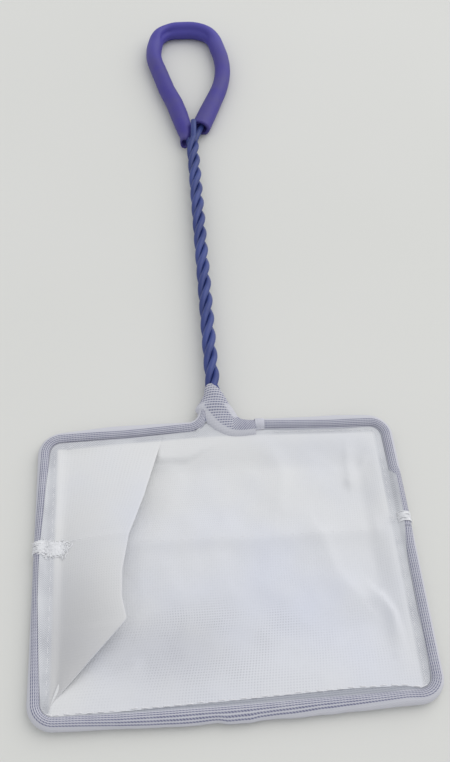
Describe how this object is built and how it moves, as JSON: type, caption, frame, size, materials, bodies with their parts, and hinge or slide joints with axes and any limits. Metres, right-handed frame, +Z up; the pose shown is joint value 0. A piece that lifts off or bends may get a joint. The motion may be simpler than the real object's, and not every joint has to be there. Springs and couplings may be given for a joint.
{
  "type": "aquarium fish net",
  "caption": "Hand net for an aquarium: a coated wire hoop with a sewn mesh bag, a twisted wire stem and a hanging loop with a soft grip tube.",
  "frame": {"origin": "centre of the part's outline on the surface that it lies on", "axes": "+Y along the stem from the hoop to the hanging loop, +Z up out of the bag's mouth"},
  "size_m": [0.1558, 0.4188, 0.0111],
  "materials": {
    "wire_core": "drawn steel wire, inside the coating",
    "wire_coating": "blue plastic coating, satin",
    "grip": "soft blue-violet tube, satin and slightly translucent",
    "tape": "ribbed woven tape, white with fine blue-grey lines",
    "mesh": "fine white mesh",
    "thread": "white sewing thread"
  },
  "bodies": {
    "frame": {"bar_tack_collar": "thread", "bar_tack_left": "thread", "bar_tack_right": "thread", "collar_wrap": "tape", "grip_tube": "grip", "hem_stitching_back_left": "thread", "hem_stitching_back_right": "thread", "hem_stitching_front": "thread", "hoop_wire_coating": "wire_coating", "hoop_wire_core": "wire_core", "loop_wire_coating": "wire_coating", "loop_wire_core": "wire_core", "mesh_hem_back_left": "mesh", "mesh_hem_back_right": "mesh", "mesh_hem_front": "mesh", "rim_tape_back_left": "tape", "rim_tape_back_right": "tape", "rim_tape_front": "tape", "stem_strand_1_coating": "wire_coating", "stem_strand_1_core": "wire_core", "stem_strand_2_coating": "wire_coating", "stem_strand_2_core": "wire_core", "stem_strand_3_coating": "wire_coating", "stem_strand_3_core": "wire_core", "tail_wire_coating": "wire_coating", "tail_wire_core": "wire_core"},
    "bag": {"net_front_panel": "mesh", "net_back_panel": "mesh", "left_seam_thread": "thread", "right_seam_thread": "thread", "bottom_seam_thread": "thread"}
  },
  "joints": [
    {"name": "bag_drop", "type": "slide", "parent": "frame", "child": "bag", "axis": [0, 0, 1], "range_m": [-0.05, 0.05], "deforming": ["net_front_panel", "net_back_panel", "left_seam_thread", "right_seam_thread"]}
  ]
}
